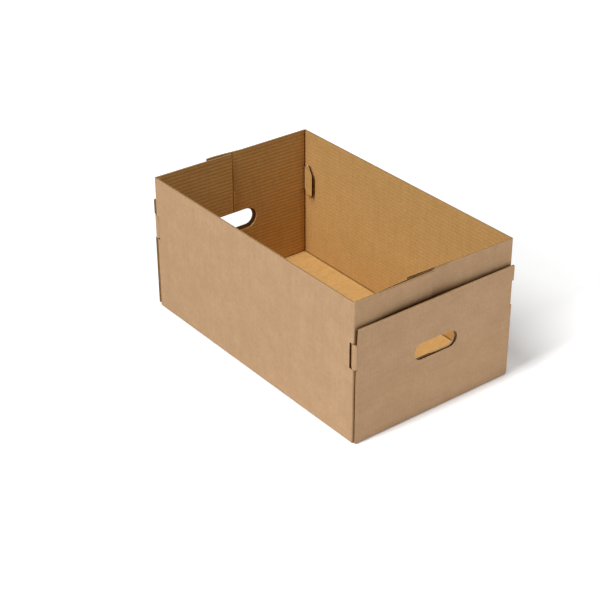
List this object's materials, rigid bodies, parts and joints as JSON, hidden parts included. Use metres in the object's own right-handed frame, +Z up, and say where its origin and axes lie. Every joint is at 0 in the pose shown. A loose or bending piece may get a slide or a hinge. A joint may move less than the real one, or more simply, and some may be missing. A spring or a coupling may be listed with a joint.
{
  "type": "corrugated board tray",
  "caption": "Deep open-topped tray of folded corrugated board, with hand holes in its end panels and locking ears tucked inside its long walls.",
  "frame": {"origin": "middle of the underside, on the surface that the tray stands on", "axes": "+X along the tray, towards one end panel; +Y across it, towards the long wall with the longer end flaps; +Z up, out of the open top"},
  "size_m": [0.5104, 0.3044, 0.2353],
  "materials": {
    "board": "plain brown kraft liner, matt, with faint lines of the flutes showing through"
  },
  "bodies": {
    "root": {"tray": "board"}
  },
  "joints": []
}
